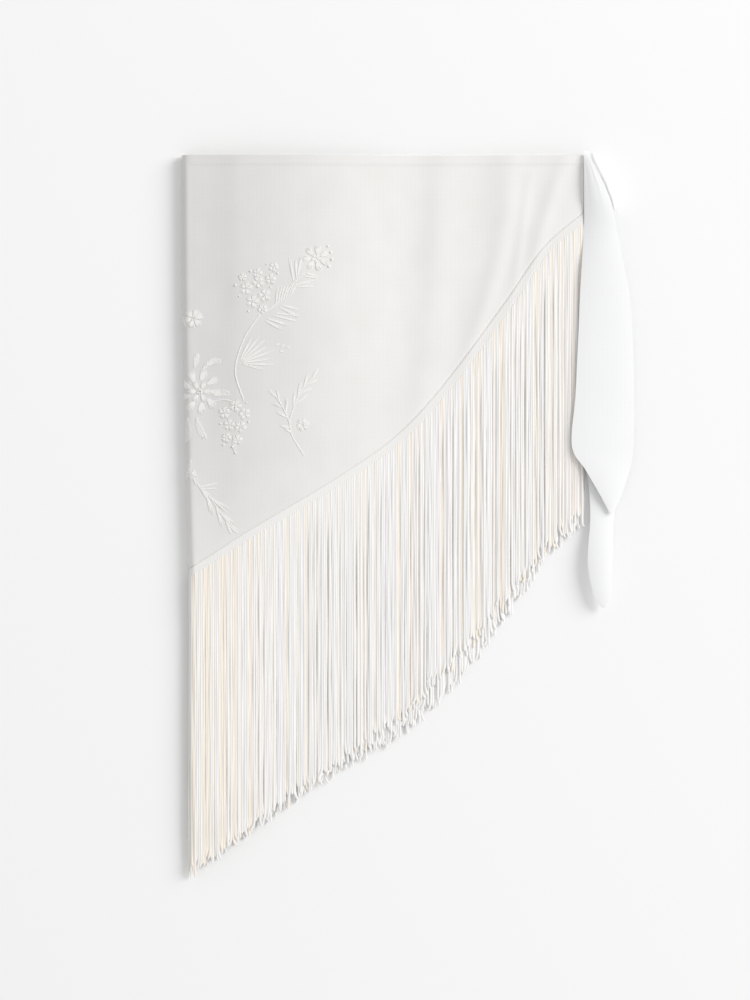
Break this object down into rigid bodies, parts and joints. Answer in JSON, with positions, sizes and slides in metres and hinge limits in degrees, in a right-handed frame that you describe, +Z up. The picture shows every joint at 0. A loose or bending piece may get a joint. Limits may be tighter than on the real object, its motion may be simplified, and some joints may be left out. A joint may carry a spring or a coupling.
{
  "type": "fringed hip scarf",
  "caption": "Triangular hip scarf folded at its centre, tied at one side and laid flat, with a long cord fringe along the slanting hem and two pointed tie ends.",
  "frame": {"origin": "middle of the footprint, on the surface that the scarf lies on", "axes": "+Y from the fringe ends up to the waist edge, +X from the fold to the knot, +Z up off the surface"},
  "size_m": [0.4512, 0.723, 0.02],
  "materials": {
    "crepe": "matt ivory crepe",
    "cord": "soft ivory twisted cord"
  },
  "bodies": {
    "root": {"front_panel": "crepe", "back_panel": "crepe", "front_fringe": "cord", "back_fringe": "cord", "knot": "crepe", "front_tail": "crepe", "back_tail": "crepe"}
  },
  "joints": []
}
